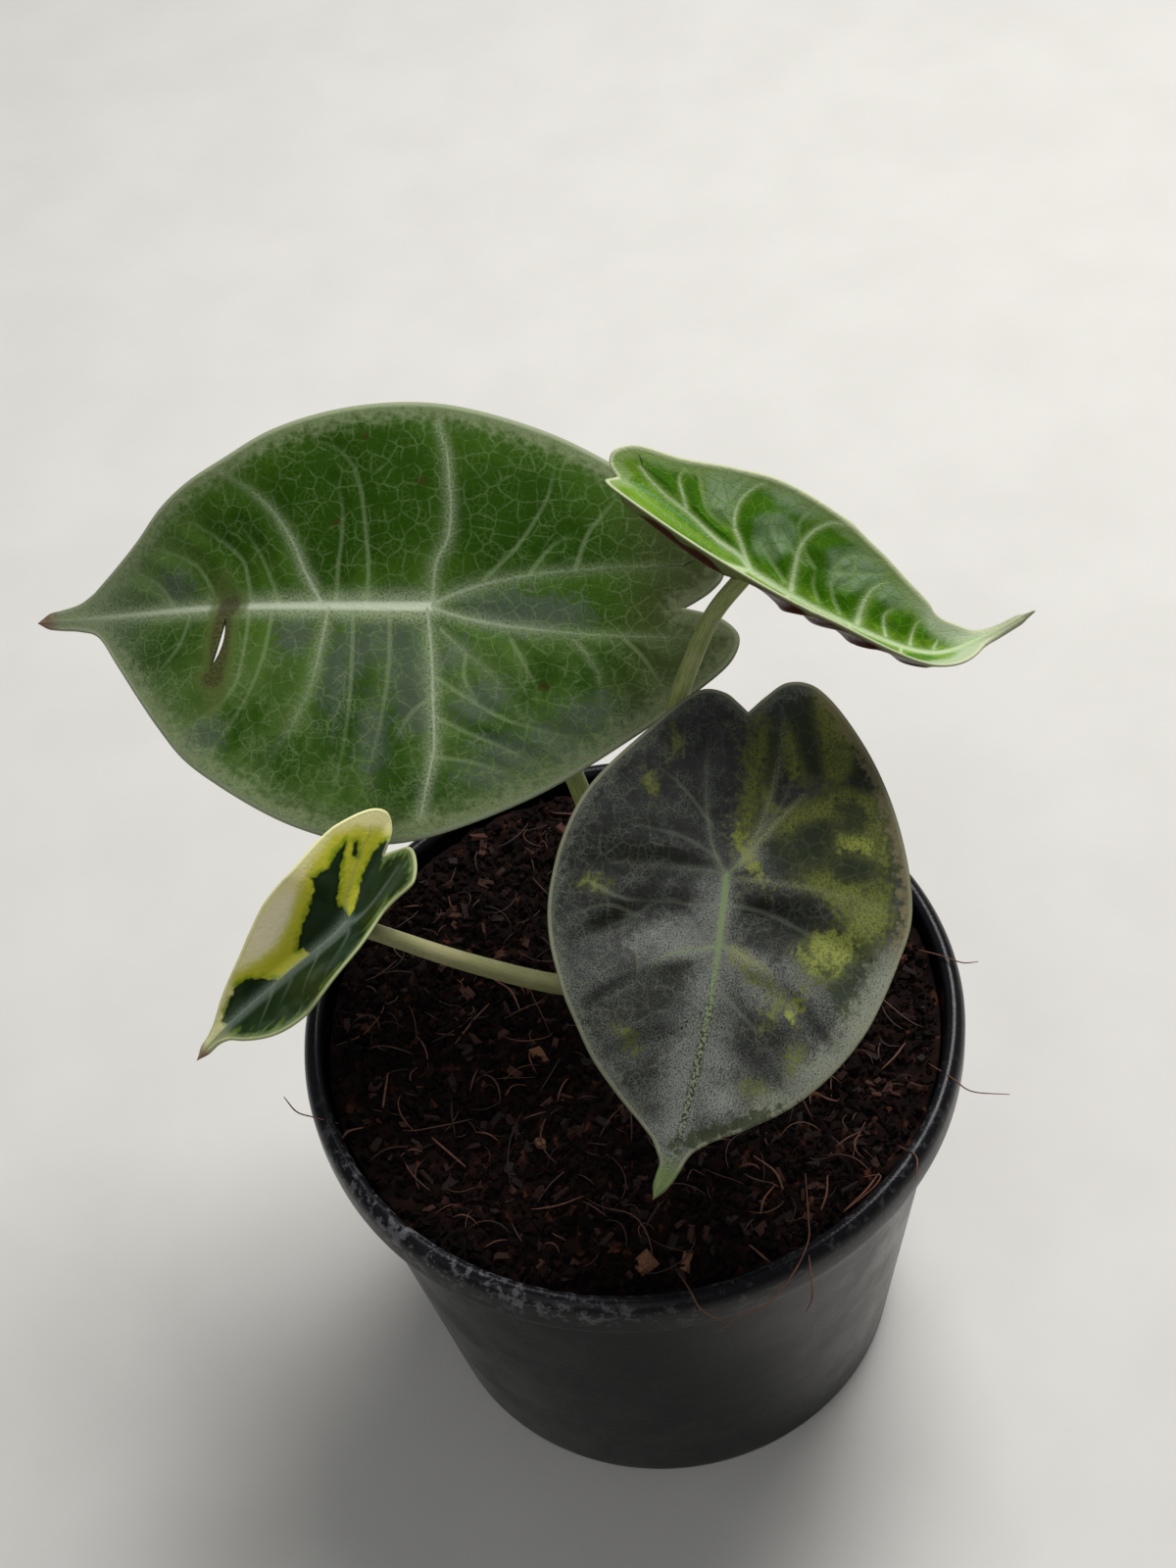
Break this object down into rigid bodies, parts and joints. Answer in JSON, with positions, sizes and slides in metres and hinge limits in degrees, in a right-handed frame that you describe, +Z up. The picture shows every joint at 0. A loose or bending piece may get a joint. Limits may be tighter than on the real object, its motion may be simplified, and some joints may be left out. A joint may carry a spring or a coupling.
{
  "type": "potted variegated alocasia",
  "caption": "Young variegated alocasia with ribbed arrow-shaped leaves on curved stalks, growing in a tapered black plastic nursery pot filled with coir.",
  "frame": {"origin": "centre of the pot's underside, on the plane that the pot stands on", "axes": "+Z up along the pot's axis; -Y towards the viewer; the large leaf points to -X and the folded leaf to +X"},
  "size_m": [0.1848, 0.1449, 0.2082],
  "materials": {
    "pot_plastic": "satin black moulded polypropylene, dusty water marks on the rim",
    "coir": "loose damp coconut fibre and husk grains",
    "stem_tissue": "firm fleshy stem and roots, matte",
    "large_leaf": "waxy leaf, deep green with a fine silvery net and a silver margin",
    "folded_leaf": "young glossy leaf, bright green panels between pale ribs, maroon underneath",
    "grey_leaf": "waxy leaf, grey green with silver grain and yellow green blotches",
    "small_leaf": "waxy leaf, one half cream and yellow, the other blue green",
    "stalk_tissue": "smooth pale green fleshy stalk, faint stripes"
  },
  "bodies": {
    "root": {"nursery_pot": "pot_plastic", "coir_soil": "coir", "stem_with_roots": "stem_tissue", "large_leaf_blade": "large_leaf", "large_leaf_stalk": "stalk_tissue", "folded_leaf_blade": "folded_leaf", "folded_leaf_stalk": "stalk_tissue", "grey_leaf_blade": "grey_leaf", "grey_leaf_stalk": "stalk_tissue", "small_leaf_blade": "small_leaf", "small_leaf_stalk": "stalk_tissue"}
  },
  "joints": []
}
